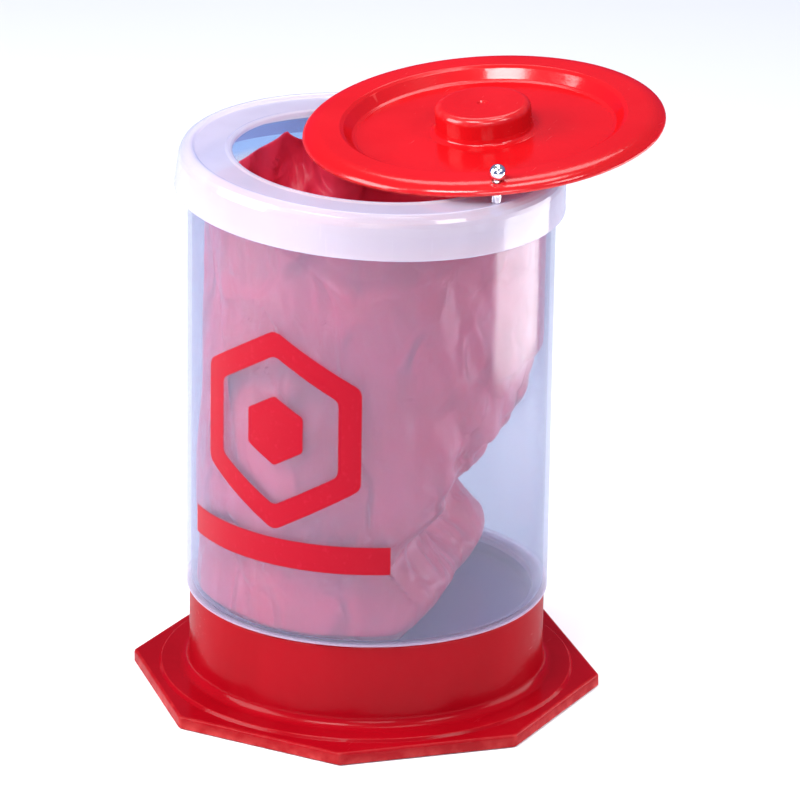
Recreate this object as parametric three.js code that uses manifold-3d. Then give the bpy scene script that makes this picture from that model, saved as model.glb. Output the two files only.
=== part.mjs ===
// Benchtop waste bin: a translucent jar standing in a red octagonal foot, with a liner bag, a push-on collar
// and a red lid that swings on a ball-headed stud. Millimetres, +Z up, origin at the centre of the foot's
// underside, the octagon's flats square to X and Y, the printed side of the jar facing -Y.
import * as THREE from "three";
import { mergeVertices } from "three/addons/utils/BufferGeometryUtils.js";
import Module from "manifold-3d";

const wasm = await Module();
wasm.setup();

// ---- Driving dimensions ----
const GAP = 0.3;                 // room kept between pieces that touch
const WALL = 1.9;                // moulded wall of the jar, collar and lid
const ROUND_SIDES = 48;          // facets round the large turned pieces
const SMALL_SIDES = 16;          // facets round the pivot hardware

const FOOT_APOTHEM = 91.6;       // centre of the octagon to a flat
const FOOT_EDGE_Z = 5.5;         // height of the octagon's edge
const FOOT_CORNER_R = 2.5;
const FOOT_EDGE_ROUND = 1.3;
const PLATEAU_R = 87.4;          // round step inside the octagon
const PLATEAU_Z = 6.9;
const DRUM_R = 74.7;             // outside of the socket wall
const DRUM_TOP_Z = 42.5;
const DRUM_FILLET = 4.2;
const SOCKET_R = 71.8;           // inside of the socket wall
const SOCKET_FLOOR_Z = 2.7;

const JAR_R = 76;
const HEEL_R = 71.4;             // stepped lower end that plugs into the socket
const HEEL_Z = 34;
const SHOULDER_Z = DRUM_TOP_Z + GAP;
const JAR_RIM_Z = 224.1;

const COLLAR_Z = 230.55;         // the collar's top face on the jar's axis
const COLLAR_TILT = 3.06;        // degrees; the collar sits a little crooked
const COLLAR_LOW_AZIMUTH = 6.4;  // degrees from +X to its lowest side
const COLLAR_DEPTH = 17;
const COLLAR_SKIRT_R = 81;
const MOUTH_R = 57.8;

const LID_R = 75.4;
const LID_EDGE_DEPTH = 4.5;
const LID_EDGE_ROUND = 8;        // how far in the lid's edge starts to curve down
const RECESS_R = 59.8;
const RECESS_FLOOR_R = 53.5;
const RECESS_DEPTH = 5.5;
const KNOB_R = 20;
const KNOB_TOP = 6.5;            // above the lid's top face
const KNOB_ROUND = 3;

const PIN_R = 70;                // pivot's distance from the middle of the collar, and of the lid
const PIN_AZIMUTH = -16;         // degrees, in the collar's own frame
const PIN_LID_TOP = 9.4;         // height of the lid's top face over the collar at the pivot
const LID_OPEN_ANGLE = 42.5;     // degrees from closed to the pose at rest
const LID_AXIS_LEAN = 11;        // degrees the closing axis leans off the collar's own axis
const LID_AXIS_AZIMUTH = 161;
const BALL_R = 3.5;
const BALL_ABOVE_LID = 3.3;      // ball's centre over the lid's top face
const SHANK_R = 1.6;
const LID_HOLE_R = 2.2;

const LINER_R = 72.6;
const LINER_WALL = 1.2;
const LINER_RIM_Z = 213;
const LINER_SLACK_AZIMUTH = 14;  // side where the bag stands away from the jar
const LINER_CORNER_POWER = 7;    // how sharply the slack side turns into the rest of the bag
// How far the bag reaches towards its slack side: [height, distance from the axis].
const LINER_REACH = [
  [5, 13], [30, 25], [55, 42], [75, 28], [95, 44], [110, 57], [125, 72], [145, 80], [165, 260],
];
const LINER_CORNER_R = 12;       // rounding of the bag's bottom edge

// ---- Helpers ----
const rad = THREE.MathUtils.degToRad;

// Position-only geometry with shared vertices and no zero-area triangles.
function welded(geometry) {
  geometry.deleteAttribute("normal");
  geometry.deleteAttribute("uv");
  const merged = mergeVertices(geometry, 1e-4);
  const index = [];
  for (let i = 0; i < merged.index.count; i += 3) {
    const [a, b, c] = [0, 1, 2].map((k) => merged.index.getX(i + k));
    if (a !== b && b !== c && c !== a) index.push(a, b, c);
  }
  merged.setIndex(index);
  return merged;
}

// Body turned about Z. The profile is a list of [radius, height], anticlockwise with radius to the right.
function turned(profile, sides = ROUND_SIDES) {
  const points = profile.map(([r, z]) => new THREE.Vector2(r, z));
  return welded(new THREE.LatheGeometry(points, sides).rotateX(Math.PI / 2));
}

// Ring: a turned profile that closes on itself.
function ring(profile, sides = ROUND_SIDES) {
  return turned([...profile, profile[0]], sides);
}

function toManifold(geometry) {
  const vertProperties = new Float32Array(geometry.attributes.position.array);
  const triVerts = new Uint32Array(geometry.index.array);
  return new wasm.Manifold(new wasm.Mesh({ numProp: 3, vertProperties, triVerts }));
}

function fromManifold(solid) {
  const mesh = solid.getMesh();
  const geometry = new THREE.BufferGeometry();
  geometry.setAttribute("position", new THREE.BufferAttribute(mesh.vertProperties, 3));
  geometry.setIndex(new THREE.BufferAttribute(mesh.triVerts, 1));
  return geometry;
}

const joined = (a, b) => fromManifold(toManifold(a).add(toManifold(b)));
const cut = (a, b) => fromManifold(toManifold(a).subtract(toManifold(b)));

// Upright cylinder between two heights.
function rod(radius, low, high, sides = SMALL_SIDES) {
  return turned([[0, low], [radius, low], [radius, high], [0, high]], sides);
}

// Points on an elliptical arc about (r, z), from one angle to another, in degrees.
function arc(r, z, reachR, reachZ, from, to, steps) {
  return Array.from({ length: steps + 1 }, (_, i) => {
    const angle = rad(from + ((to - from) * i) / steps);
    return [r + reachR * Math.cos(angle), z + reachZ * Math.sin(angle)];
  });
}

const plastic = (color, roughness, opacity = 1) =>
  new THREE.MeshStandardMaterial({ color, roughness, metalness: 0, opacity, transparent: opacity < 1 });
const steel = () => new THREE.MeshStandardMaterial({ color: 0xc9ccd0, roughness: 0.2, metalness: 1 });

function piece(name, geometry, material) {
  const mesh = new THREE.Mesh(geometry, material);
  mesh.name = name;
  return mesh;
}

// ---- Foot ----
// Octagon with rounded corners.
function octagonShape(apothem, cornerR) {
  const reach = apothem / Math.cos(Math.PI / 8);
  const trim = cornerR * Math.tan(Math.PI / 8);
  const shape = new THREE.Shape();
  for (let i = 0; i < 8; i++) {
    const at = (k) => {
      const angle = Math.PI / 8 + (k * Math.PI) / 4;
      return new THREE.Vector2(reach * Math.cos(angle), reach * Math.sin(angle));
    };
    const corner = at(i);
    const before = at(i - 1).sub(corner).setLength(trim).add(corner);
    const after = at(i + 1).sub(corner).setLength(trim).add(corner);
    if (i === 0) shape.moveTo(before.x, before.y);
    else shape.lineTo(before.x, before.y);
    shape.quadraticCurveTo(corner.x, corner.y, after.x, after.y);
  }
  shape.closePath();
  return shape;
}

// Octagonal plate with a rounded top edge and a flat underside at z = 0.
function octagonPlate() {
  const spare = 2;
  const plate = new THREE.ExtrudeGeometry(octagonShape(FOOT_APOTHEM - FOOT_EDGE_ROUND, FOOT_CORNER_R), {
    depth: FOOT_EDGE_Z + spare - FOOT_EDGE_ROUND * 2, curveSegments: 3,
    bevelThickness: FOOT_EDGE_ROUND, bevelSize: FOOT_EDGE_ROUND, bevelSegments: 3,
  }).translate(0, 0, FOOT_EDGE_ROUND - spare);
  const below = rod(FOOT_APOTHEM * 2, -spare * 2, 0, 8);
  return cut(welded(plate), below);
}

// Round body of the foot: floor, step, filleted socket wall with a rolled lip.
function socketBody() {
  const lip = 0.7;
  return turned([
    [0, 0], [PLATEAU_R, 0], [PLATEAU_R, FOOT_EDGE_Z - GAP], [PLATEAU_R - 1.4, PLATEAU_Z],
    ...arc(DRUM_R + DRUM_FILLET, PLATEAU_Z + DRUM_FILLET, DRUM_FILLET, DRUM_FILLET, 270, 180, 4),
    ...arc(DRUM_R - lip, DRUM_TOP_Z - lip, lip, lip, 0, 90, 2),
    [SOCKET_R + lip, DRUM_TOP_Z], [SOCKET_R, DRUM_TOP_Z - lip],
    [SOCKET_R, SOCKET_FLOOR_Z + 2], [SOCKET_R - 2, SOCKET_FLOOR_Z], [0, SOCKET_FLOOR_Z],
  ]);
}

function foot() {
  const bore = rod(DRUM_R, SOCKET_FLOOR_Z, DRUM_TOP_Z, ROUND_SIDES);
  const plate = cut(octagonPlate(), bore);
  return piece("base_foot", joined(plate, socketBody()), plastic(0xd0121e, 0.22));
}

// ---- Jar ----
function jar() {
  const heelInner = HEEL_R - WALL;
  const inner = JAR_R - WALL;
  const floorTop = HEEL_Z + WALL + 0.2;
  const profile = [
    [0, HEEL_Z], [HEEL_R - 1.5, HEEL_Z], [HEEL_R, HEEL_Z + 1.5], [HEEL_R, SHOULDER_Z],
    [JAR_R - 1, SHOULDER_Z], [JAR_R, SHOULDER_Z + 1],
    [JAR_R, JAR_RIM_Z - 0.5], [JAR_R - 0.5, JAR_RIM_Z], [inner + 0.5, JAR_RIM_Z], [inner, JAR_RIM_Z - 0.5],
    [inner, SHOULDER_Z + 4.5], [inner - 0.8, SHOULDER_Z + 2.6], [heelInner, SHOULDER_Z + 0.9],
    [heelInner, floorTop + 1.5], [heelInner - 1.5, floorTop], [0, floorTop],
  ];
  return piece("jar", turned(profile), plastic(0xdfe4f2, 0.15, 0.35));
}

// ---- Liner bag ----
function linerReach(z) {
  const above = LINER_REACH.findIndex(([height]) => z < height);
  if (above < 0) return LINER_REACH.at(-1)[1];
  if (above === 0) return LINER_REACH[0][1];
  const [[lowZ, low], [highZ, high]] = LINER_REACH.slice(above - 1, above + 1);
  return low + (high - low) * THREE.MathUtils.smoothstep(z, lowZ, highZ);
}

// Outer radius of the bag: it follows the jar all round, except where it is cut short on its slack side.
function linerRadius(azimuth, z, floorZ) {
  const inCorner = Math.max(0, 1 - (z - floorZ) / LINER_CORNER_R);
  const inHeel = 1 - THREE.MathUtils.smoothstep(z, SHOULDER_Z + 1, SHOULDER_Z + 7);
  const full = LINER_R - LINER_CORNER_R * 0.5 * inCorner * inCorner - (JAR_R - HEEL_R) * inHeel;
  const towardsSlack = Math.cos(rad(azimuth - LINER_SLACK_AZIMUTH));
  if (towardsSlack <= 0) return full;
  const cut = linerReach(z) / towardsSlack;
  const power = LINER_CORNER_POWER;
  return Math.pow(Math.pow(full, -power) + Math.pow(cut, -power), -1 / power);
}

function linerBag() {
  const around = 36;
  const floorZ = HEEL_Z + WALL + 0.2 + GAP;
  const levels = [0, 2, 6, 12, 20, 32, 42, 50, 60, 70, 80, 90, 104, 120, 138, 156];
  const rimAt = (azimuth) => {
    const fromPeak = THREE.MathUtils.euclideanModulo(azimuth - 150 + 180, 360) - 180;
    return LINER_RIM_Z + 5 * Math.exp(-Math.pow(fromPeak / 28, 2));
  };
  const rings = [];
  for (const up of levels) rings.push((az) => [linerRadius(az, floorZ + up, floorZ), floorZ + up]);
  rings.push((az) => [LINER_R, rimAt(az)]);
  rings.push((az) => [LINER_R - LINER_WALL, rimAt(az)]);
  for (const up of [...levels].reverse()) {
    const z = floorZ + Math.max(up, LINER_WALL);
    rings.push((az) => [linerRadius(az, z, floorZ) - LINER_WALL, z]);
  }
  const points = [];
  for (const ringPoint of rings) {
    for (let i = 0; i < around; i++) {
      const azimuth = (360 * i) / around;
      const [r, z] = ringPoint(azimuth);
      points.push(r * Math.cos(rad(azimuth)), r * Math.sin(rad(azimuth)), z);
    }
  }
  const lowHub = points.length / 3;
  const hub = [-8 * Math.cos(rad(LINER_SLACK_AZIMUTH)), -8 * Math.sin(rad(LINER_SLACK_AZIMUTH))];
  points.push(...hub, floorZ, ...hub, floorZ + LINER_WALL);
  const index = [];
  const last = (rings.length - 1) * around;
  for (let i = 0; i < around; i++) {
    const j = (i + 1) % around;
    for (let k = 0; k < rings.length - 1; k++) {
      const [a, b, c, d] = [k * around + i, k * around + j, (k + 1) * around + j, (k + 1) * around + i];
      index.push(a, b, c, a, c, d);
    }
    index.push(lowHub, j, i, lowHub + 1, last + i, last + j);
  }
  const geometry = new THREE.BufferGeometry();
  geometry.setAttribute("position", new THREE.Float32BufferAttribute(points, 3));
  geometry.setIndex(index);
  return piece("liner_bag", geometry, plastic(0xc4102a, 0.35, 0.7));
}

// ---- Collar, in its own frame: z = 0 is its flat top face ----
function collar() {
  const crest = [75.2, 1.4];
  const flatEnd = 73.2;
  const skirtTop = [79.9, -3.6];
  const profile = [
    [COLLAR_SKIRT_R - 0.6, -COLLAR_DEPTH], [COLLAR_SKIRT_R, -COLLAR_DEPTH + 0.6], [80.3, -7], skirtTop,
    [79.4, -1.8], [78.5, -0.3], [77.3, 0.7], [76.2, 1.25], crest, [74.3, 1.1], [73.7, 0.4], [flatEnd, 0],
    [60.8, 0], [59.8, 0.45], [58.5, 0.45], [MOUTH_R, -0.1], [MOUTH_R, -WALL + 0.2], [MOUTH_R + 0.6, -WALL - 0.1],
    [76.4, -WALL - 0.1], [77.8, -3.2], [78.2, -5.5], [78.8, -COLLAR_DEPTH],
  ];
  const [x, y] = pinPlace();
  const hole = rod(SHANK_R + 0.6, -5, 5).translate(x, y, 0);
  return piece("collar", cut(ring(profile), hole), plastic(0xf1eff6, 0.2, 0.8));
}

function pinPlace() {
  return [PIN_R * Math.cos(rad(PIN_AZIMUTH)), PIN_R * Math.sin(rad(PIN_AZIMUTH))];
}

// ---- Pivot hardware, in the collar's frame with the pivot on the axis ----
// One stud with a ball head and a straight shank that reaches through the collar.
function pivotStud() {
  const ballZ = PIN_LID_TOP + BALL_ABOVE_LID;
  const neckAngle = THREE.MathUtils.radToDeg(Math.asin(SHANK_R / BALL_R)) - 90;
  const tailZ = -5.6;
  const profile = [
    [0, tailZ], [SHANK_R - 0.3, tailZ], [SHANK_R, tailZ + 0.3],
    ...arc(0, ballZ, BALL_R, BALL_R, neckAngle, 90, 8).slice(0, -1), [0, ballZ + BALL_R],
  ];
  return piece("pivot_stud", turned(profile, SMALL_SIDES), steel());
}

function washer(name, holeR, outerR, low, high) {
  const geometry = ring([[outerR, low], [outerR, high], [holeR, high], [holeR, low]], SMALL_SIDES);
  return piece(name, geometry, steel());
}

// ---- Lid, in its own frame: z = 0 is its flat top face ----
function lidProfile() {
  const floor = -RECESS_DEPTH;
  const under = floor - WALL;
  const edgeTop = -LID_EDGE_DEPTH + 0.5;
  const inKnob = KNOB_R - WALL;
  const outside = [
    [LID_R, -LID_EDGE_DEPTH],
    ...arc(LID_R - LID_EDGE_ROUND, edgeTop, LID_EDGE_ROUND, -edgeTop, 0, 90, 5),
    [RECESS_R, 0], [58.4, -0.6], [55.2, -4.4], [RECESS_FLOOR_R, floor],
    [KNOB_R + 2.6, floor], [KNOB_R + 0.7, floor + 0.8], [KNOB_R, floor + 2.6],
    ...arc(KNOB_R - KNOB_ROUND, KNOB_TOP - KNOB_ROUND, KNOB_ROUND, KNOB_ROUND, 0, 90, 4),
    [1.9, KNOB_TOP], [1.2, KNOB_TOP - 0.6], [0, KNOB_TOP - 0.6],
  ];
  const inside = [
    [0, KNOB_TOP - WALL - 0.6], [inKnob - 2, KNOB_TOP - WALL], [inKnob, KNOB_TOP - WALL - 2],
    [inKnob, under + 1.5], [inKnob + 1.5, under], [54.4, under], [56.6, under + 1.2], [59.6, -WALL - 0.6],
    [60.4, -WALL], [66.6, -WALL], [70.6, -WALL - 0.5], [73, -WALL - 1.5], [73.9, -LID_EDGE_DEPTH],
  ];
  return [...inside, ...outside];
}

function lid() {
  const [x, y] = pinPlace();
  const hole = rod(LID_HOLE_R, -8, 4).translate(x, y, 0);
  return piece("lid", cut(turned(lidProfile()), hole), plastic(0xe0141f, 0.18));
}

// ---- Assembly ----
// Frame of the collar: turned about the jar's axis so that its low side faces COLLAR_LOW_AZIMUTH.
function collarFrame() {
  const frame = new THREE.Group();
  const low = rad(COLLAR_LOW_AZIMUTH);
  const axis = new THREE.Vector3(-Math.sin(low), Math.cos(low), 0);
  frame.quaternion.setFromAxisAngle(axis, rad(COLLAR_TILT));
  frame.position.set(0, 0, COLLAR_Z);
  return frame;
}

// Frame that carries the lid: it turns about a leaning axis through the middle of the lid's pivot hole.
function lidFrame() {
  const frame = new THREE.Group();
  const [x, y] = pinPlace();
  const lean = rad(LID_AXIS_LEAN);
  const azimuth = rad(LID_AXIS_AZIMUTH);
  const axis = new THREE.Vector3(
    Math.sin(lean) * Math.cos(azimuth), Math.sin(lean) * Math.sin(azimuth), Math.cos(lean));
  frame.quaternion.setFromAxisAngle(axis, -rad(LID_OPEN_ANGLE));
  frame.position.set(x, y, PIN_LID_TOP - WALL / 2);
  return frame;
}

function assembly() {
  const bin = new THREE.Group();
  bin.add(foot(), jar(), linerBag());

  const onJar = collarFrame();
  onJar.add(collar());
  const [x, y] = pinPlace();
  const hardware = [
    pivotStud(),
    washer("pivot_spacer", SHANK_R + GAP, 2.3, GAP, 3.8),
    washer("stud_washer", SHANK_R + GAP, 3.2, -3.2, -2.4),
    washer("stud_push_nut", SHANK_R + GAP, 2.9, -4.9, -3.5),
  ];
  for (const part of hardware) {
    part.position.set(x, y, 0);
    onJar.add(part);
  }

  const onPin = lidFrame();
  const lidPiece = lid();
  lidPiece.position.set(-x, -y, WALL / 2);
  const lidWasher = washer("lid_washer", 2.25, 3, -3.6, -2.9);
  onPin.add(lidPiece, lidWasher);
  onJar.add(onPin);
  bin.add(onJar);
  return bin;
}

export default assembly();
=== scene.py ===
import math

import bpy
from mathutils import Matrix, Vector, noise

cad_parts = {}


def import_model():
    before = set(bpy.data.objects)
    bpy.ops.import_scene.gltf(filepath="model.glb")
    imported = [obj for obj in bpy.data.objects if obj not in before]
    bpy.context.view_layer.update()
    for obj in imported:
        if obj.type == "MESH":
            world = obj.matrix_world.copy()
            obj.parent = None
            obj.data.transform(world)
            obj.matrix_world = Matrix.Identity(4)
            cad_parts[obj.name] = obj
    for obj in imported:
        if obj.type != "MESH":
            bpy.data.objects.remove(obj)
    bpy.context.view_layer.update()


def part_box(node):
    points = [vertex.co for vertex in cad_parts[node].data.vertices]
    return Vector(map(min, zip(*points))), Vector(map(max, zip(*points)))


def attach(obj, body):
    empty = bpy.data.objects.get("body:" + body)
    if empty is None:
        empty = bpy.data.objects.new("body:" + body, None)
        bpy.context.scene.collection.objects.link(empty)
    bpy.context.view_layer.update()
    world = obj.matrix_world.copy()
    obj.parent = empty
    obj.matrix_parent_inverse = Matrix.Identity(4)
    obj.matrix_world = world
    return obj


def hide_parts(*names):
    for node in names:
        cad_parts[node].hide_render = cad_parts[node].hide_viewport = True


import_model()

# A benchtop waste bin: octagonal red foot, translucent jar, liner bag, milky collar, and a red lid held
# by a ball-headed stud. Shapes are written in millimetres and built in metres, in the CAD's frame:
# Z is up and the axis of the jar is the Z axis. Azimuths are in degrees, anticlockwise from +X.
MM = 0.001
UP = Vector((0, 0, 1))
noise.seed_set(1)  # without a seed, noise_vector is offset by the clock


def in_mm(node):
    """Lowest and highest corner of a CAD node, in millimetres."""
    low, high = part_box(node)
    return low / MM, high / MM


foot_high = in_mm("base_foot")[1]
jar_low, jar_high = in_mm("jar")
liner_low, liner_high = in_mm("liner_bag")

# ---- Shared dimensions, in millimetres ----
WALL = 1.9
FOOT_APOTHEM = foot_high.x
FOOT_EDGE_Z = 5.5
FOOT_EDGE_ROUND = 1.3
FOOT_CORNER_R = 2.5
PLATEAU_R = 87.4
PLATEAU_Z = 6.9
DRUM_R = 74.7
DRUM_FILLET = 4.2
SOCKET_R = 71.8
SOCKET_FLOOR_Z = 2.7
JAR_R = jar_high.x
HEEL_R = 71.4
COLLAR_Z = 230.55
COLLAR_TILT = 3.06
COLLAR_LOW_AZIMUTH = 6.4
COLLAR_DEPTH = 17
COLLAR_SKIRT_R = 81
MOUTH_R = 57.8
LID_R = 75.4
KNOB_R = 20
PIN_R = 70
PIN_AZIMUTH = -16
PIN_LID_TOP = 9.4
LID_OPEN_ANGLE = 42.5
LID_AXIS_LEAN = 11
LID_AXIS_AZIMUTH = 161
BALL_R = 3.5
SHANK_R = 1.6
LID_HOLE_R = 2.2
LINER_R = liner_high.x
PRINT_AZIMUTH = -92
INK_LOW, INK_HIGH = 0.02, 0.1        # the ink's two faces, above the jar's surface
MARK_Z = 133.5
MARK_OUTLINE = (28, 37.5)            # inner and outer apothem
MARK_DOT = (0, 13)
BAR_Z = 81
BAR_LENGTH = 100
BAR_HEIGHT = 12


def polar(radius, degrees, z=0.0):
    """Point at a distance from the Z axis, in a direction."""
    angle = math.radians(degrees)
    return Vector((radius * math.cos(angle), radius * math.sin(angle), z))


# ---- Frames ----
def collar_frame():
    """The collar sits a little crooked on the jar: tipped towards its low side."""
    axis = polar(1, COLLAR_LOW_AZIMUTH + 90)
    return Matrix.Translation((0, 0, COLLAR_Z * MM)) @ Matrix.Rotation(math.radians(COLLAR_TILT), 4, axis)


def lid_frame():
    """The lid is turned about a leaning axis through the middle of its pivot hole."""
    pin = polar(PIN_R, PIN_AZIMUTH)
    middle = Vector((pin.x, pin.y, PIN_LID_TOP - WALL / 2)) * MM
    axis = polar(math.sin(math.radians(LID_AXIS_LEAN)), LID_AXIS_AZIMUTH)
    axis.z = math.cos(math.radians(LID_AXIS_LEAN))
    turn = Matrix.Rotation(-math.radians(LID_OPEN_ANGLE), 4, axis)
    back = Matrix.Translation(Vector((-pin.x, -pin.y, WALL / 2)) * MM)
    return collar_frame() @ Matrix.Translation(middle) @ turn @ back


def sided_radius(azimuth, apothem, corner_r, sides):
    """Distance from the middle to the outline of a rounded regular polygon, in a direction."""
    half = 180 / sides
    from_flat = (azimuth + half) % (2 * half) - half
    from_corner = math.radians(half - abs(from_flat))
    reach = (apothem - corner_r) / math.cos(math.radians(half))
    across = reach * math.sin(from_corner)
    if across < corner_r * math.sin(math.radians(half)):
        return reach * math.cos(from_corner) + math.sqrt(corner_r ** 2 - across ** 2)
    return apothem / math.cos(math.radians(from_flat))


# ---- Mesh building ----
def finish_mesh(mesh, sharp=38):
    """Smooth shading, apart from edges that turn by more than sharp degrees."""
    mesh.validate()
    mesh.polygons.foreach_set("use_smooth", [True] * len(mesh.polygons))
    mesh.set_sharp_from_angle(angle=math.radians(sharp))


def loft(name, rings, start=None, end=None, loop=False, caps=False, sharp=38):
    """Mesh through rings of points in millimetres. start and end are single points that close it,
    caps closes it with flat ends, and loop joins the last ring to the first."""
    count = len(rings[0])
    points = [Vector(p) * MM for ring in rings for p in ring]
    faces = []
    spans = len(rings) if loop else len(rings) - 1
    for k in range(spans):
        a, b = k * count, ((k + 1) % len(rings)) * count
        for i in range(count):
            j = (i + 1) % count
            faces.append((a + i, a + j, b + j, b + i))
    last = (len(rings) - 1) * count
    if start is not None:
        points.append(Vector(start) * MM)
        faces += [(len(points) - 1, (i + 1) % count, i) for i in range(count)]
    if end is not None:
        points.append(Vector(end) * MM)
        faces += [(len(points) - 1, last + i, last + (i + 1) % count) for i in range(count)]
    if caps:
        faces.append(tuple(reversed(range(count))))
        faces.append(tuple(range(last, last + count)))
    mesh = bpy.data.meshes.new(name)
    mesh.from_pydata(points, [], faces)
    finish_mesh(mesh, sharp)
    piece = bpy.data.objects.new(name, mesh)
    bpy.context.scene.collection.objects.link(piece)
    return piece


def rounded(points, closed=False, steps=5):
    """Profile of (radius, height, fillet) corners with each corner eased by its fillet."""
    out = []
    count = len(points)
    for i, (r, z, fillet) in enumerate(points):
        here = Vector((r, z))
        inner = closed or 0 < i < count - 1
        if not fillet or not inner:
            out.append((r, z))
            continue
        before = Vector(points[i - 1][:2]) - here
        after = Vector(points[(i + 1) % count][:2]) - here
        turn = math.pi - before.angle(after)
        trim = min(fillet * math.tan(turn / 2), before.length * 0.48, after.length * 0.48)
        a = here + before.normalized() * trim
        b = here + after.normalized() * trim
        for k in range(steps + 1):
            t = k / steps
            p = a * (1 - t) ** 2 + here * (2 * t * (1 - t)) + b * t ** 2
            out.append((p.x, p.y))
    return out


def arc(r, z, reach_r, reach_z, start, stop, steps):
    """Points on an elliptical arc about (r, z), from one angle to another, in degrees."""
    out = []
    for i in range(steps + 1):
        angle = math.radians(start + (stop - start) * i / steps)
        out.append((r + reach_r * math.cos(angle), z + reach_z * math.sin(angle)))
    return out


def turned(name, profile, sides=192, sharp=38):
    """Body turned about Z from (radius, height) points, anticlockwise with radius to the right."""
    azimuths = [360 * i / sides for i in range(sides)]
    rings = [[polar(r, a, z) for a in azimuths] for r, z in profile if r > 1e-6]
    start = (0, 0, profile[0][1]) if profile[0][0] < 1e-6 else None
    end = (0, 0, profile[-1][1]) if profile[-1][0] < 1e-6 else None
    return loft(name, rings, start, end, loop=start is None, sharp=sharp)


def drilled(piece, radius, low, high, place):
    """Cuts an upright round hole, in the piece's own frame."""
    cutter = turned("cutter", [(0, low), (radius, low), (radius, high), (0, high)], 48)
    cutter.location = place * MM
    cut = piece.modifiers.new("hole", "BOOLEAN")
    cut.operation = "DIFFERENCE"
    cut.solver = "EXACT"
    cut.object = cutter
    bpy.context.view_layer.update()
    evaluated = piece.evaluated_get(bpy.context.evaluated_depsgraph_get())
    mesh = bpy.data.meshes.new_from_object(evaluated)
    piece.modifiers.clear()
    piece.data = mesh
    bpy.data.objects.remove(cutter)
    finish_mesh(mesh)
    return piece


def settle(piece, body, slot, material, *nodes, weighted=True):
    """Gives the piece its material and even shading, and ties it to its body and to the CAD nodes
    that it stands in for."""
    piece.data.materials.clear()
    piece.data.materials.append(material)
    if weighted:
        shading = piece.modifiers.new("even_shading", "WEIGHTED_NORMAL")
        shading.keep_sharp = True
    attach(piece, body)
    if nodes:
        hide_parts(*nodes)
    return piece


# ---- Materials ----
class Nodes:
    """Short spelling for building one material's node tree."""

    def __init__(self, name):
        self.material = bpy.data.materials.new(name)
        self.material.use_nodes = True
        self.tree = self.material.node_tree
        self.tree.nodes.clear()
        self.out = self.add("ShaderNodeOutputMaterial")

    def add(self, kind, inputs=None, **settings):
        node = self.tree.nodes.new(kind)
        for key, value in settings.items():
            setattr(node, key, value)
        for key, value in (inputs or {}).items():
            self.feed(node.inputs[key], value)
        return node

    def feed(self, socket, value):
        if isinstance(value, bpy.types.NodeSocket):
            self.tree.links.new(value, socket)
        else:
            socket.default_value = value

    def place(self, scale=(1, 1, 1)):
        where = self.add("ShaderNodeTexCoord").outputs["Object"]
        return self.add("ShaderNodeMapping", {"Vector": where, "Scale": scale}).outputs["Vector"]

    def noise(self, scale, detail=3.0, roughness=0.5, stretch=(1, 1, 1), distortion=0.0):
        inputs = {"Vector": self.place(stretch), "Scale": scale, "Detail": detail,
                  "Roughness": roughness, "Distortion": distortion}
        return self.add("ShaderNodeTexNoise", inputs).outputs["Fac"]

    def span(self, value, low, high, to_low, to_high):
        inputs = {"Value": value, "From Min": low, "From Max": high, "To Min": to_low, "To Max": to_high}
        return self.add("ShaderNodeMapRange", inputs).outputs["Result"]

    def vectors(self, operation, a, b):
        return self.add("ShaderNodeVectorMath", {0: a, 1: b}, operation=operation).outputs

    def facets(self, scale, stretch, softness):
        """Height of crumpled facets: each cell of the pattern leans its own way."""
        at = self.place(stretch)
        cells = self.add("ShaderNodeTexVoronoi", {"Vector": at, "Scale": scale, "Smoothness": softness},
                         feature="SMOOTH_F1").outputs
        across = self.vectors("SUBTRACT", at, cells["Position"])["Vector"]
        lean = self.vectors("SUBTRACT", cells["Color"], (0.5, 0.5, 0.5))["Vector"]
        return self.vectors("DOT_PRODUCT", across, lean)["Value"]

    def math(self, operation, a, b):
        return self.add("ShaderNodeMath", {0: a, 1: b}, operation=operation).outputs[0]

    def tint(self, share, a, b):
        node = self.add("ShaderNodeMix", data_type="RGBA")
        for index, value in ((0, share), (6, a), (7, b)):
            self.feed(node.inputs[index], value)
        return node.outputs[2]

    def bump(self, height, distance, strength=1.0, after=None):
        inputs = {"Height": height, "Distance": distance, "Strength": strength}
        if after is not None:
            inputs["Normal"] = after
        return self.add("ShaderNodeBump", inputs).outputs["Normal"]

    def mix(self, share, a, b):
        node = self.add("ShaderNodeMixShader", {0: share})
        self.tree.links.new(a, node.inputs[1])
        self.tree.links.new(b, node.inputs[2])
        return node.outputs[0]

    def wear(self, spread):
        """1 on worn outer edges, broken up by noise, 0 elsewhere."""
        pointed = self.add("ShaderNodeNewGeometry").outputs["Pointiness"]
        edge = self.span(pointed, 0.51, 0.51 + spread, 0, 1)
        return self.math("MULTIPLY", edge, self.span(self.noise(180, 4), 0.4, 0.7, 0.2, 1))

    def edge_on(self, power):
        """Rises to 1 where the surface is seen edge on."""
        facing = self.add("ShaderNodeLayerWeight", {"Blend": 0.5}).outputs["Facing"]
        return self.math("POWER", facing, power)

    def done(self, shader):
        self.tree.links.new(shader, self.out.inputs["Surface"])
        return self.material


def rgba(r, g, b):
    return (r, g, b, 1)


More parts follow.
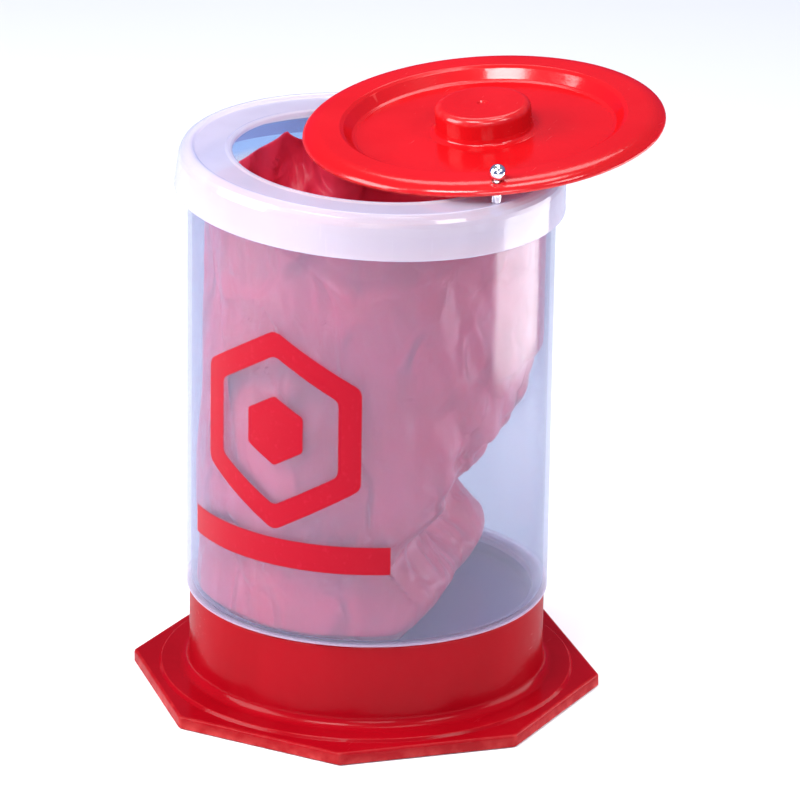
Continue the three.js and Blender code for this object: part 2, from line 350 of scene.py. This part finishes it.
def red_plastic(name, deep, bright, roughness, gloss):
    """Glossy moulded plastic: faint flow marks, hairline scuffs and lightly rubbed edges."""
    n = Nodes(name)
    flow = n.noise(14, 4, 0.55, (1, 1, 0.4), 0.6)
    colour = n.tint(n.span(flow, 0.35, 0.65, 0, 1), deep, bright)
    rubbed = n.wear(0.06)
    colour = n.tint(n.math("MULTIPLY", rubbed, 0.35), colour, rgba(0.95, 0.16, 0.14))
    scuffs = n.noise(900, 2, 0.6, (1, 0.05, 1))
    dull = n.span(n.noise(30, 3), 0.4, 0.75, roughness, roughness + 0.1)
    dull = n.math("ADD", dull, n.span(scuffs, 0.62, 0.75, 0, 0.12))
    skin = n.bump(n.noise(260, 2), 0.00006)
    skin = n.bump(scuffs, 0.00003, 0.5, skin)
    body = n.add("ShaderNodeBsdfPrincipled", {"Base Color": colour, "Roughness": 0.5, "Normal": skin,
                                              "Specular IOR Level": 0.0})
    shine = n.add("ShaderNodeBsdfGlossy", {"Color": rgba(1, 1, 1), "Roughness": dull, "Normal": skin})
    mirror = n.math("ADD", gloss, n.math("MULTIPLY", n.edge_on(5), 0.22))
    return n.done(n.mix(mirror, body.outputs[0], shine.outputs[0]))


PAINTED_BLUE_BAND = (0.2115, 0.2155)  # heights, in metres, over which the tint turns to a painted blue near the rim, standing in for blue surroundings seen through the wall


def clear_plastic(name, tint, haze_colour, edge_painted_blue, haze, edge_haze, roughness, thick_z=None):
    """Translucent moulded wall: tinted see-through, a milky haze that catches the light and thickens
    where the wall is seen edge on, and a glossy skin. Seen edge on, the haze is also painted darker
    and bluer, a painted blue cast of the surroundings. thick_z is the height in metres of a thick
    shoulder: the wall is paler there, partly from the thick plastic and partly as a painted highlight
    along the jar's bottom edge that covers the drum's shadow. The heel below it is painted milkier and
    violet, a painted reflection of the red drum round it, and the rim's band is painted blue, standing
    in for blue surroundings seen through the wall."""
    n = Nodes(name)
    cloud = n.noise(18, 3, 0.5, (1, 1, 0.35))
    scratches = n.noise(700, 2, 0.6, (1, 1, 0.03))
    marks = n.span(scratches, 0.66, 0.8, 0, 0.04)
    share = n.math("ADD", n.span(cloud, 0.35, 0.65, haze * 0.92, haze * 1.08), marks)
    share = n.math("ADD", share, n.math("MULTIPLY", n.edge_on(3), edge_haze))
    # Painted light: where the wall is seen edge on, the haze is painted darker and bluer, a painted blue
    # cast of the surroundings.
    haze_colour = n.tint(n.edge_on(2.5), haze_colour, edge_painted_blue)
    if thick_z is not None:
        height = n.add("ShaderNodeSeparateXYZ", {"Vector": n.place()}).outputs["Z"]
        # Painted light in the heel: thicker haze painted violet and a pinker tint, a painted reflection of
        # the red drum round it.
        heel = n.span(height, thick_z, thick_z + 0.001, 1, 0)
        # The band at the shoulder is paler: partly the thick plastic there, partly a painted highlight
        # along the jar's bottom edge that covers the drum's shadow.
        shoulder = n.math("MULTIPLY", n.span(height, thick_z - 0.002, thick_z - 0.001, 0, 1),
                          n.span(height, thick_z + 0.001, thick_z + 0.0028, 1, 0))
        share = n.math("ADD", share, n.math("MULTIPLY", shoulder, 0.45))
        share = n.math("ADD", share, n.math("MULTIPLY", heel, 0.24))
        haze_colour = n.tint(heel, haze_colour, rgba(0.44, 0.38, 0.72))
        haze_colour = n.tint(shoulder, haze_colour, rgba(0.68, 0.56, 0.72))
        tint = n.tint(heel, tint, rgba(0.92, 0.8, 0.96))
        # Painted blue near the rim, standing in for blue surroundings seen through the far wall.
        tint = n.tint(n.span(height, PAINTED_BLUE_BAND[0], PAINTED_BLUE_BAND[1], 0, 1), tint, rgba(0.6, 0.76, 0.97))
    skin = n.bump(n.noise(90, 2, 0.5, (1, 1, 0.4)), 0.00005)
    skin = n.bump(scratches, 0.00001, 0.5, skin)
    clear = n.add("ShaderNodeBsdfTransparent", {"Color": tint}).outputs[0]
    milk = n.add("ShaderNodeBsdfDiffuse", {"Color": haze_colour, "Normal": skin}).outputs[0]
    through = n.add("ShaderNodeBsdfTranslucent", {"Color": haze_colour, "Normal": skin}).outputs[0]
    body = n.mix(share, clear, n.mix(0.5, milk, through))
    dull = n.span(cloud, 0.3, 0.7, roughness, roughness + 0.05)
    gloss = n.add("ShaderNodeBsdfGlossy", {"Color": rgba(1, 1, 1), "Normal": skin, "Roughness": dull})
    mirror = n.math("ADD", 0.035, n.math("MULTIPLY", n.edge_on(5), 0.5))
    return n.done(n.mix(mirror, body, gloss.outputs[0]))


def film(name):
    """Thin red translucent film: light soaks through it, and its crumpled folds and creases shine."""
    n = Nodes(name)
    cloud = n.noise(20, 4, 0.55)
    colour = n.tint(n.span(cloud, 0.35, 0.65, 0, 1), rgba(0.86, 0.02, 0.055), rgba(0.96, 0.065, 0.14))
    skin = n.bump(n.facets(22, (1, 1, 0.5), 0.9), 0.6)
    skin = n.bump(n.facets(55, (1, 1, 0.6), 0.7), 0.5, 1.0, skin)
    skin = n.bump(n.noise(60, 3, 0.5, (1, 1, 0.4), 0.8), 0.0012, 1.0, skin)
    front = n.add("ShaderNodeBsdfPrincipled", {"Base Color": colour, "Roughness": 0.3, "Normal": skin,
                                               "Specular IOR Level": 0.5})
    through = n.add("ShaderNodeBsdfTranslucent", {"Color": colour, "Normal": skin})
    return n.done(n.mix(0.2, front.outputs[0], through.outputs[0]))


def ink(name):
    """Screen-printed ink: even colour with small thin spots."""
    n = Nodes(name)
    thin = n.span(n.noise(420, 3), 0.58, 0.75, 0, 1)
    colour = n.tint(thin, rgba(0.3, 0.0015, 0.011), rgba(0.34, 0.005, 0.018))
    inputs = {"Base Color": colour, "Roughness": n.span(n.noise(60, 2), 0.3, 0.7, 0.3, 0.42),
              "Normal": n.bump(thin, 0.00003), "Specular IOR Level": 0.1}
    return n.done(n.add("ShaderNodeBsdfPrincipled", inputs).outputs[0])


def bright_steel(name):
    """Polished steel with fine turning marks and a slight tarnish."""
    n = Nodes(name)
    turning = n.noise(900, 2, 0.5, (0.05, 0.05, 1))
    colour = n.tint(n.span(n.noise(120, 3), 0.4, 0.7, 0, 1), rgba(0.86, 0.87, 0.89), rgba(0.7, 0.7, 0.71))
    inputs = {"Base Color": colour, "Metallic": 1.0, "Roughness": n.span(turning, 0.3, 0.7, 0.1, 0.2),
              "Normal": n.bump(turning, 0.00002)}
    return n.done(n.add("ShaderNodeBsdfPrincipled", inputs).outputs[0])


def floor_paper(name):
    """Pale matt paper, very slightly uneven in colour."""
    n = Nodes(name)
    colour = n.tint(n.noise(3, 2), rgba(0.78, 0.79, 0.81), rgba(0.8, 0.81, 0.83))
    inputs = {"Base Color": colour, "Roughness": 0.8, "Specular IOR Level": 0.1}
    return n.done(n.add("ShaderNodeBsdfPrincipled", inputs).outputs[0])


# The foot is the lid's red plastic painted about half as bright: painted shade on the lower, less lit drum
# and plate.
foot_red_painted_shade = red_plastic("foot_red_painted_shade", rgba(0.22, 0.001, 0.004), rgba(0.27, 0.0015, 0.006), 0.13, 0.007)
lid_red = red_plastic("lid_red", rgba(0.41, 0.003, 0.005), rgba(0.46, 0.004, 0.007), 0.12, 0.036)
jar_clear = clear_plastic("jar_clear", tint=rgba(0.82, 0.855, 0.9), haze_colour=rgba(0.35, 0.375, 0.6),
                          edge_painted_blue=rgba(0.18, 0.24, 0.47), haze=0.14, edge_haze=0.4, roughness=0.11,
                          thick_z=foot_high.z * MM)
# The collar's haze is painted pinkish: painted red light bleeding through from the bag.
collar_milk = clear_plastic("collar_milk", tint=rgba(0.93, 0.91, 0.95), haze_colour=rgba(0.83, 0.76, 0.81),
                            edge_painted_blue=rgba(0.36, 0.44, 0.7), haze=0.52, edge_haze=0.2, roughness=0.08)
bag_film = film("bag_film")
print_ink = ink("print_ink")
steel = bright_steel("bright_steel")


# ---- Foot ----
def octagon_azimuths():
    """Directions round the foot: close together at the octagon's corners, where the outline turns."""
    out = []
    for side in range(8):
        middle = 45 * side
        out += [middle - 22.5 + 0.2 * k for k in range(-5, 6)]
        out += [middle - 21.2 + 42.4 * k / 17 for k in range(18)]
    return sorted(a % 360 for a in out)


def foot():
    """Octagonal plate with a rounded edge, a raised round step, and the drum with its socket."""
    azimuths = octagon_azimuths()

    def flat_sided(apothem, corner_r, z):
        return [polar(sided_radius(a, apothem, corner_r, 8), a, z) for a in azimuths]

    def circle(r, z):
        return [polar(r, a, z) for a in azimuths]

    inset = FOOT_EDGE_ROUND
    edge = FOOT_APOTHEM
    rings = [flat_sided(edge - 0.4, FOOT_CORNER_R, 0), flat_sided(edge, FOOT_CORNER_R, 0.4)]
    for angle in range(0, 91, 15):
        lean = math.radians(angle)
        shrink = inset * (1 - math.cos(lean))
        z = FOOT_EDGE_Z - inset * (1 - math.sin(lean))
        rings.append(flat_sided(edge - shrink, FOOT_CORNER_R - shrink / 2, z))
    inside = rounded([
        (PLATEAU_R + 0.5, FOOT_EDGE_Z, 0), (PLATEAU_R + 0.1, FOOT_EDGE_Z, 0.4),
        (PLATEAU_R - 0.9, PLATEAU_Z, 0.8), (DRUM_R + DRUM_FILLET + 0.4, PLATEAU_Z, 0)], steps=4)
    inside += arc(DRUM_R + DRUM_FILLET, PLATEAU_Z + DRUM_FILLET, DRUM_FILLET, DRUM_FILLET, 270, 180, 10)
    inside += [(DRUM_R, z) for z in (11.6, 20, 30, 41)]
    top = foot_high.z
    inside += arc(DRUM_R - 0.7, top - 0.7, 0.7, 0.7, 10, 90, 5)
    inside += rounded([
        (SOCKET_R + 1, top, 0), (SOCKET_R, top, 0.7), (SOCKET_R, SOCKET_FLOOR_Z, 2),
        (40, SOCKET_FLOOR_Z, 0)])
    rings += [circle(r, z) for r, z in inside]
    return loft("foot", rings, (0, 0, 0), (0, 0, SOCKET_FLOOR_Z))


settle(foot(), "base", "foot_plastic", foot_red_painted_shade, "base_foot")


# ---- Jar ----
def jar():
    """Open cylinder with a narrower heel that plugs into the drum."""
    inner = JAR_R - WALL
    heel_inner = HEEL_R - WALL
    low, rim = jar_low.z, jar_high.z
    shoulder = foot_high.z + 0.3
    floor_top = low + WALL + 0.2
    profile = rounded([
        (0, low, 0), (HEEL_R, low, 1.5), (HEEL_R, shoulder, 0.3), (JAR_R, shoulder, 1.1),
        (JAR_R, rim, 0.6), (inner, rim, 0.6), (inner, shoulder + 2, 1.2), (heel_inner, shoulder + 0.8, 1.2),
        (heel_inner, floor_top, 1.8), (0, floor_top, 0)])
    return turned("jar_wall", profile)


settle(jar(), "jar", "jar_plastic", jar_clear, "jar")


# ---- Print on the jar: a plain six-sided outline with a plain six-sided dot in it, over a plain bar ----
def on_jar(across, z, lift):
    """Point on the jar's outside, a distance round it from the middle of the print."""
    return polar(JAR_R + lift, PRINT_AZIMUTH + math.degrees(across / JAR_R), z)


def printed_hexagon(name, middle_z, inner, outer):
    """Six-sided mark wrapped round the jar: an outline between two apothems, or filled if inner is 0."""
    angles = [2 * i for i in range(180)]
    steps = 8

    def ring(apothem, lift):
        reach = [sided_radius(a, apothem, apothem * 0.14, 6) for a in angles]
        flat = [polar(r, a) for r, a in zip(reach, angles)]
        return [on_jar(p.x, middle_z + p.y, lift) for p in flat]

    apothems = [inner + (outer - inner) * k / steps for k in range(steps + 1)]
    if inner > 0:
        rings = [ring(a, INK_HIGH) for a in apothems] + [ring(a, INK_LOW) for a in reversed(apothems)]
        return loft(name, [list(reversed(r)) for r in rings], loop=True)
    rings = [ring(a, INK_LOW) for a in apothems[1:]] + [ring(a, INK_HIGH) for a in reversed(apothems[1:])]
    return loft(name, rings, on_jar(0, middle_z, INK_LOW), on_jar(0, middle_z, INK_HIGH))


def printed_bar(name, middle_z, length, height):
    """Strip of ink wrapped round the jar."""
    steps = 60
    low, high = middle_z - height / 2, middle_z + height / 2
    sections = []
    for k in range(steps + 1):
        across = length * (k / steps - 0.5)
        sections.append([on_jar(across, low, INK_LOW), on_jar(across, low, INK_HIGH),
                         on_jar(across, high, INK_HIGH), on_jar(across, high, INK_LOW)])
    return loft(name, sections, caps=True)


for mark in (printed_hexagon("print_outline", MARK_Z, *MARK_OUTLINE),
             printed_hexagon("print_dot", MARK_Z, *MARK_DOT),
             printed_bar("print_bar", BAR_Z, BAR_LENGTH, BAR_HEIGHT)):
    settle(mark, "jar", "liner_film", print_ink, weighted=False)


# ---- Liner bag ----
def smoothstep(low, high, value):
    t = min(max((value - low) / (high - low), 0), 1)
    return t * t * (3 - 2 * t)


LINER_RIM_Z = 215.5
SEAM_AZIMUTH = 149
DENT_AZIMUTH = -152
FOLD_AZIMUTH = -65
FOLD_Z = 189
FILM_THICKNESS = 0.25
FILM_INSET = 0.5                     # from the CAD bag's outside to the film
LINER_BOTTOM_MIDDLE = (-8, -3)
LINER_CORNER_POWER = 7               # how tightly the bag turns from the jar's side to its slack side
FOLD_NOISE_R = 60                    # the crumple pattern is read on a cylinder of this radius
FOLD_TWIST = 0.2                     # degrees that the pattern turns for each millimetre of height
FOLD_START = 5
FOLD_STRETCH = 0.55
LINER_SLACK_AZIMUTH = 14             # side where the bag stands away from the jar
# How far the bag reaches towards its slack side: (height, distance from the axis)
LINER_REACH = ((5, 13), (30, 25), (55, 42), (75, 28), (95, 44), (110, 57), (125, 72), (145, 80), (165, 260))


def around_from(azimuth, middle):
    """Degrees from a direction, between -180 and 180."""
    return (azimuth - middle + 180) % 360 - 180


def liner_reach(z):
    """LINER_REACH at any height."""
    for (low_z, low), (high_z, high) in zip(LINER_REACH, LINER_REACH[1:]):
        if z < high_z:
            return low + (high - low) * smoothstep(low_z, high_z, z)
    return LINER_REACH[-1][1]


def liner_side(azimuth, z):
    """The bag's outer radius before creases: it follows the jar, but is cut short on its slack side."""
    opposite = math.exp(-(around_from(azimuth, DENT_AZIMUTH) / 24) ** 2) * smoothstep(95, 135, z)
    corner = max(0, 1 - (z - liner_low.z) / 9)
    heel = 1 - smoothstep(43, 45.5, z)
    full = LINER_R - 2.5 * opposite - 5 * corner ** 2 - 4.6 * heel
    towards = math.cos(math.radians(azimuth - LINER_SLACK_AZIMUTH))
    if towards <= 0:
        return full
    cut = liner_reach(z) / towards
    return (full ** -LINER_CORNER_POWER + cut ** -LINER_CORNER_POWER) ** (-1 / LINER_CORNER_POWER)


def facets(point, size, softness):
    """Height of crumpled film at a point, in cells of about that size that each lean their own way."""
    at = point / size
    distances, middles = noise.voronoi(at)
    total = height = 0
    for distance, middle in zip(distances, middles):
        share = math.exp(-(distance - distances[0]) / softness)
        total += share
        height += share * (at - middle).dot(noise.cell_vector(middle))
    return size * height / total


def front_fold(azimuth, z):
    """How far the film steps in above the V-shaped fold under the near side of the rim."""
    aside = around_from(azimuth, FOLD_AZIMUTH)
    line = FOLD_Z + abs(aside) * (0.59 if aside < 0 else 0.34)
    return 7 * smoothstep(0, 9, z - line) * (1 - smoothstep(28, 46, abs(aside)))


def seam_corner(azimuth, z):
    """How far the film falls away inwards on each side of the corner at its side seam."""
    aside = abs(around_from(azimuth, SEAM_AZIMUTH))
    return 5 * (1 - math.exp(-aside / 16)) * smoothstep(140, 200, z) * (1 - smoothstep(30, 60, aside))


def liner_point(azimuth, z, rim_share):
    """Point on the film: the side drawn in by crumpled folds, which are shallower at the rim and in
    the snug heel."""
    at = polar(FOLD_NOISE_R, azimuth + FOLD_TWIST * z + FOLD_START, z * FOLD_STRETCH)
    big = facets(at, 46, 0.16)
    small = facets(at + 6 * noise.noise_vector(at / 30), 20, 0.14)
    tiny = facets(at + 4 * noise.noise_vector(at / 15), 9, 0.14)
    wave = 0.5 + 0.5 * noise.noise(Vector((at.x, at.y, z * 0.5)) / 22)
    snug = 0.2 + 0.8 * smoothstep(46, 85, z)
    depth = max(0, 3.4 + 0.42 * big + 0.3 * small + 0.16 * tiny + 1.2 * wave) * snug
    depth = depth * (0.35 + 0.65 * rim_share) + front_fold(azimuth, z) + seam_corner(azimuth, z)
    return polar(liner_side(azimuth, z) - FILM_INSET - depth, azimuth, z)


def liner_rim(azimuth):
    """Height of the bag's edge: it stands up to a point where the bag's side seam meets it."""
    aside = around_from(azimuth, SEAM_AZIMUTH)
    peak = 5.5 * math.exp(-abs(aside) / (3.5 if aside < 0 else 9))
    wave = 1.2 * noise.noise(polar(FOLD_NOISE_R, azimuth) / 18) * smoothstep(20, 40, abs(aside))
    return LINER_RIM_Z + peak + wave


def liner_floor_point(azimuth, z, share):
    """The bag's bottom, gathered a little towards the side it leans on."""
    edge = liner_point(azimuth, z, 1)
    middle = Vector((*LINER_BOTTOM_MIDDLE, z))
    lift = 1.5 * (1 - share) * (1 + noise.noise(edge / 14))
    return middle.lerp(edge, share) + UP * lift


def liner_bag():
    """Closed at the bottom and open at the rim, then thickened to a film."""
    around, up = 288, 150
    azimuths = [360 * i / around for i in range(around)]
    low = liner_low.z + FILM_INSET
    rings = []
    for share in (0.35, 0.6, 0.8, 0.93):
        rings.append([liner_floor_point(a, low, share) for a in azimuths])
    for k in range(up + 1):
        t = k / up
        rings.append([
            liner_point(a, low + (liner_rim(a) - low) * t, smoothstep(0, 0.25, 1 - t)) for a in azimuths])
    bag = loft("bag", rings, start=(*LINER_BOTTOM_MIDDLE, low), sharp=180)
    wall = bag.modifiers.new("film", "SOLIDIFY")
    wall.thickness = FILM_THICKNESS * MM
    wall.offset = -1
    return bag


bag = settle(liner_bag(), "liner", "liner_film", bag_film, "liner_bag", weighted=False)


# ---- Collar ----
def collar():
    """Ring with a raised bead round its top, a lip round the mouth and a skirt over the jar's rim."""
    deep = COLLAR_DEPTH
    profile = rounded([
        (COLLAR_SKIRT_R, -deep, 0.6), (80.3, -7, 3), (79.9, -3.6, 2), (79.4, -1.8, 1),
        (78.5, -0.3, 1.5), (77.3, 0.7, 1.5), (76.2, 1.25, 1), (75.2, 1.4, 1), (74.3, 1.1, 0.6),
        (73.7, 0.4, 0.4), (73.2, 0, 0.4), (60.8, 0, 0.6), (59.8, 0.45, 0.6), (58.5, 0.45, 0.6),
        (MOUTH_R, -0.1, 0.5), (MOUTH_R, -1.8, 0.5), (58.4, -2, 0.3), (76.4, -2, 1.2),
        (77.8, -3.2, 1.2), (78.2, -5.5, 1), (78.8, -deep, 0.4)],
        closed=True, steps=3)
    return drilled(turned("collar_ring", profile), SHANK_R + 0.6, -5, 5, polar(PIN_R, PIN_AZIMUTH))


def placed(piece, matrix):
    """Moves the piece's mesh, so that its object stays at the origin and its box stays tight."""
    piece.data.transform(matrix)
    return piece


ON_COLLAR = collar_frame()
ON_PIN = ON_COLLAR @ Matrix.Translation(polar(PIN_R, PIN_AZIMUTH) * MM)
ON_LID = lid_frame()
settle(placed(collar(), ON_COLLAR), "collar", "collar_plastic", collar_milk, "collar")


# ---- Pivot hardware ----
def stud():
    """Shank with a ball for a head, standing on the collar's top."""
    ball_z = PIN_LID_TOP + 3.3
    neck = math.degrees(math.asin(SHANK_R / BALL_R)) - 90
    tail = -5.6
    profile = [(0, tail), (SHANK_R - 0.3, tail), (SHANK_R, tail + 0.3), (SHANK_R, 0), (SHANK_R, 8)]
    profile += arc(0, ball_z, BALL_R, BALL_R, neck, 90, 24)
    profile[-1] = (0, ball_z + BALL_R)
    return turned("stud", profile, 64)


def washer(name, hole_r, outer_r, low, high):
    """Flat ring with eased edges, between two heights."""
    edge = min(0.15, (high - low) / 4)
    corners = [(outer_r, low, edge), (outer_r, high, edge), (hole_r, high, edge), (hole_r, low, edge)]
    return turned(name, rounded(corners, closed=True, steps=3), 64)


BORE_R = SHANK_R + 0.3
settle(placed(stud(), ON_PIN), "collar", "bright_steel", steel, "pivot_stud")
for name, node, bore, outer, low, high in (
        ("spacer", "pivot_spacer", BORE_R, 2.3, 0.3, 3.8),
        ("under_washer", "stud_washer", BORE_R, 3.2, -3.2, -2.4),
        ("push_nut", "stud_push_nut", BORE_R, 2.9, -4.9, -3.5)):
    settle(placed(washer(name, bore, outer, low, high), ON_PIN), "collar", "bright_steel", steel, node)


# ---- Lid ----
def lid():
    """Rounded rim, round recess, and a hollow knob with a dimple. Its top flange is at height 0."""
    under = -5.5 - WALL
    edge_top = -4
    in_knob = KNOB_R - WALL
    inside = rounded([
        (0, 4, 0), (in_knob, 4.4, 2), (in_knob, under, 1.5), (55.4, under, 1.6), (59, -2.6, 2),
        (60.4, -WALL, 1), (68, -WALL, 4), (72.6, -3, 2), (73.9, -4.5, 0.4)])
    outside = [(75.2, -4.5)] + arc(LID_R - 8, edge_top, 8, 4, 0, 90, 14)
    outside += rounded([
        (62, 0, 0), (59.8, 0, 1.2), (58.2, -0.9, 1.2), (54.9, -4.9, 1.2), (53.2, -5.5, 1.5),
        (KNOB_R + 2.6, -5.5, 2), (KNOB_R + 0.4, -4.6, 1.2), (KNOB_R, -2.5, 1), (KNOB_R, 6.5, 3.2),
        (7, 6.5, 0), (2.4, 6.5, 0.4), (1.6, 5.9, 0.4), (0, 5.9, 0)])
    return drilled(turned("lid_cover", inside + outside, 256), LID_HOLE_R, -8, 4, polar(PIN_R, PIN_AZIMUTH))


settle(placed(lid(), ON_LID), "lid", "lid_plastic", lid_red, "lid")
pin_on_lid = Matrix.Translation((polar(PIN_R, PIN_AZIMUTH) - UP * WALL / 2) * MM)
settle(placed(washer("hinge_washer", 2.25, 3, -3.6, -2.9), ON_LID @ pin_on_lid),
       "lid_washer", "bright_steel", steel, "lid_washer")


# ---- Stage, light and camera ----
def stage():
    bpy.ops.mesh.primitive_plane_add(size=12, location=(0, 0, -0.0003))
    floor = bpy.context.object
    floor.name = "floor"
    floor.data.materials.append(floor_paper("floor_paper"))


LIGHT_AIM_Z = 0.13                   # height of the point that every light faces, in metres
WORLD_STRENGTH = 0.45


def softbox(name, azimuth, elevation, distance, size, power):
    """Area light in a direction from the bin's middle, which it faces."""
    light = bpy.data.lights.new(name, "AREA")
    light.shape = "RECTANGLE"
    light.size, light.size_y = size
    light.energy = power
    lamp = bpy.data.objects.new(name, light)
    bpy.context.scene.collection.objects.link(lamp)
    flat = polar(math.cos(math.radians(elevation)), azimuth)
    away = Vector((flat.x, flat.y, math.sin(math.radians(elevation))))
    lamp.location = UP * LIGHT_AIM_Z + away * distance
    lamp.rotation_euler = (-away).to_track_quat("-Z", "Y").to_euler()


def world():
    """Pale studio surroundings: blue near the horizon, dim above it, white overhead."""
    sky = bpy.data.worlds.new("studio")
    sky.use_nodes = True
    bpy.context.scene.world = sky
    tree = sky.node_tree
    background = tree.nodes["Background"]
    where = tree.nodes.new("ShaderNodeTexCoord")
    split = tree.nodes.new("ShaderNodeSeparateXYZ")
    shade = tree.nodes.new("ShaderNodeValToRGB")
    low, high = shade.color_ramp.elements
    middle = shade.color_ramp.elements.new(0.35)
    low.position, low.color = 0.05, rgba(0.1, 0.2, 0.7)
    middle.color = rgba(0.03, 0.05, 0.14)
    high.position, high.color = 0.8, rgba(0.75, 0.8, 1.0)
    tree.links.new(where.outputs["Generated"], split.inputs[0])
    tree.links.new(split.outputs["Z"], shade.inputs[0])
    tree.links.new(shade.outputs["Color"], background.inputs["Color"])
    background.inputs["Strength"].default_value = WORLD_STRENGTH


VIEW_AZIMUTH = -61.85                # direction from the bin to the camera
VIEW_ELEVATION = 20.19
VIEW_DISTANCE = 2.5412
VIEW_ROLL = 0.89
VIEW_AIM_Z = 0.115                   # height of a point on the jar's axis, in metres
VIEW_AIM = (0.01282, 0.00794)        # the camera faces this far right of and above that point
VIEW_LENS = 273.85
VIEW_SENSOR = 36


def camera():
    """The photo's viewpoint, without depth of field."""
    data = bpy.data.cameras.new("camera")
    data.sensor_width = VIEW_SENSOR
    data.lens = VIEW_LENS
    data.dof.use_dof = False
    eye = bpy.data.objects.new("camera", data)
    bpy.context.scene.collection.objects.link(eye)
    flat = polar(math.cos(math.radians(VIEW_ELEVATION)), VIEW_AZIMUTH)
    back = Vector((flat.x, flat.y, math.sin(math.radians(VIEW_ELEVATION))))
    right = UP.cross(back).normalized()
    above = back.cross(right)
    roll = math.radians(VIEW_ROLL)
    x_axis = right * math.cos(roll) + above * math.sin(roll)
    y_axis = above * math.cos(roll) - right * math.sin(roll)
    aim = UP * VIEW_AIM_Z + right * VIEW_AIM[0] + above * VIEW_AIM[1]
    place = aim + back * VIEW_DISTANCE
    turn = Matrix((x_axis, y_axis, back)).transposed()
    eye.matrix_world = Matrix.Translation(place) @ turn.to_4x4()
    bpy.context.scene.camera = eye


stage()
world()
softbox("right_box", 38, -2, 0.42, (0.32, 0.2), 1.4)
softbox("left_box", -140, 24, 1.0, (0.6, 0.7), 15)
softbox("front_soft", -92, 54, 1.3, (0.5, 0.35), 13)
softbox("front_fill", -55, 22, 2.2, (0.9, 0.7), 17)
softbox("overhead", 30, 80, 3.0, (0.9, 0.9), 26)
softbox("back_wash", 118, 55, 1.8, (0.9, 0.5), 8)
softbox("right_high", -8, 40, 1.5, (0.4, 0.4), 6)
camera()
bpy.context.scene.view_settings.view_transform = "Standard"
